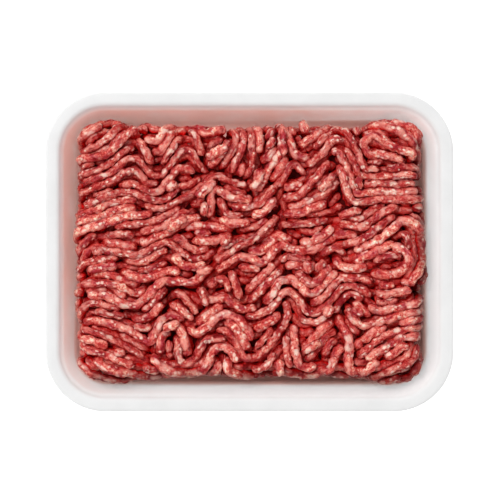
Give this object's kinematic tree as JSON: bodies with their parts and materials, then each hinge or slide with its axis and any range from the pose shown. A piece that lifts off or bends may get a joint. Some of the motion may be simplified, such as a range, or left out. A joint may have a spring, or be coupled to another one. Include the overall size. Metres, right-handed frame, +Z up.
{
  "type": "tray of minced meat",
  "caption": "Shallow white foam tray with sloping walls and a flat rim, filled with a brick of raw minced beef laid in wavy strands.",
  "frame": {"origin": "centre of the tray's underside, on the surface that it stands on", "axes": "+X along the tray's length, to the right in the picture; +Y across its width, to the top of the picture; +Z up, out of the tray"},
  "size_m": [0.235, 0.184, 0.034],
  "materials": {
    "foam": "matte white foam",
    "mince": "moist red meat with pale fat"
  },
  "bodies": {
    "root": {"tray": "foam", "mince": "mince"}
  },
  "joints": []
}
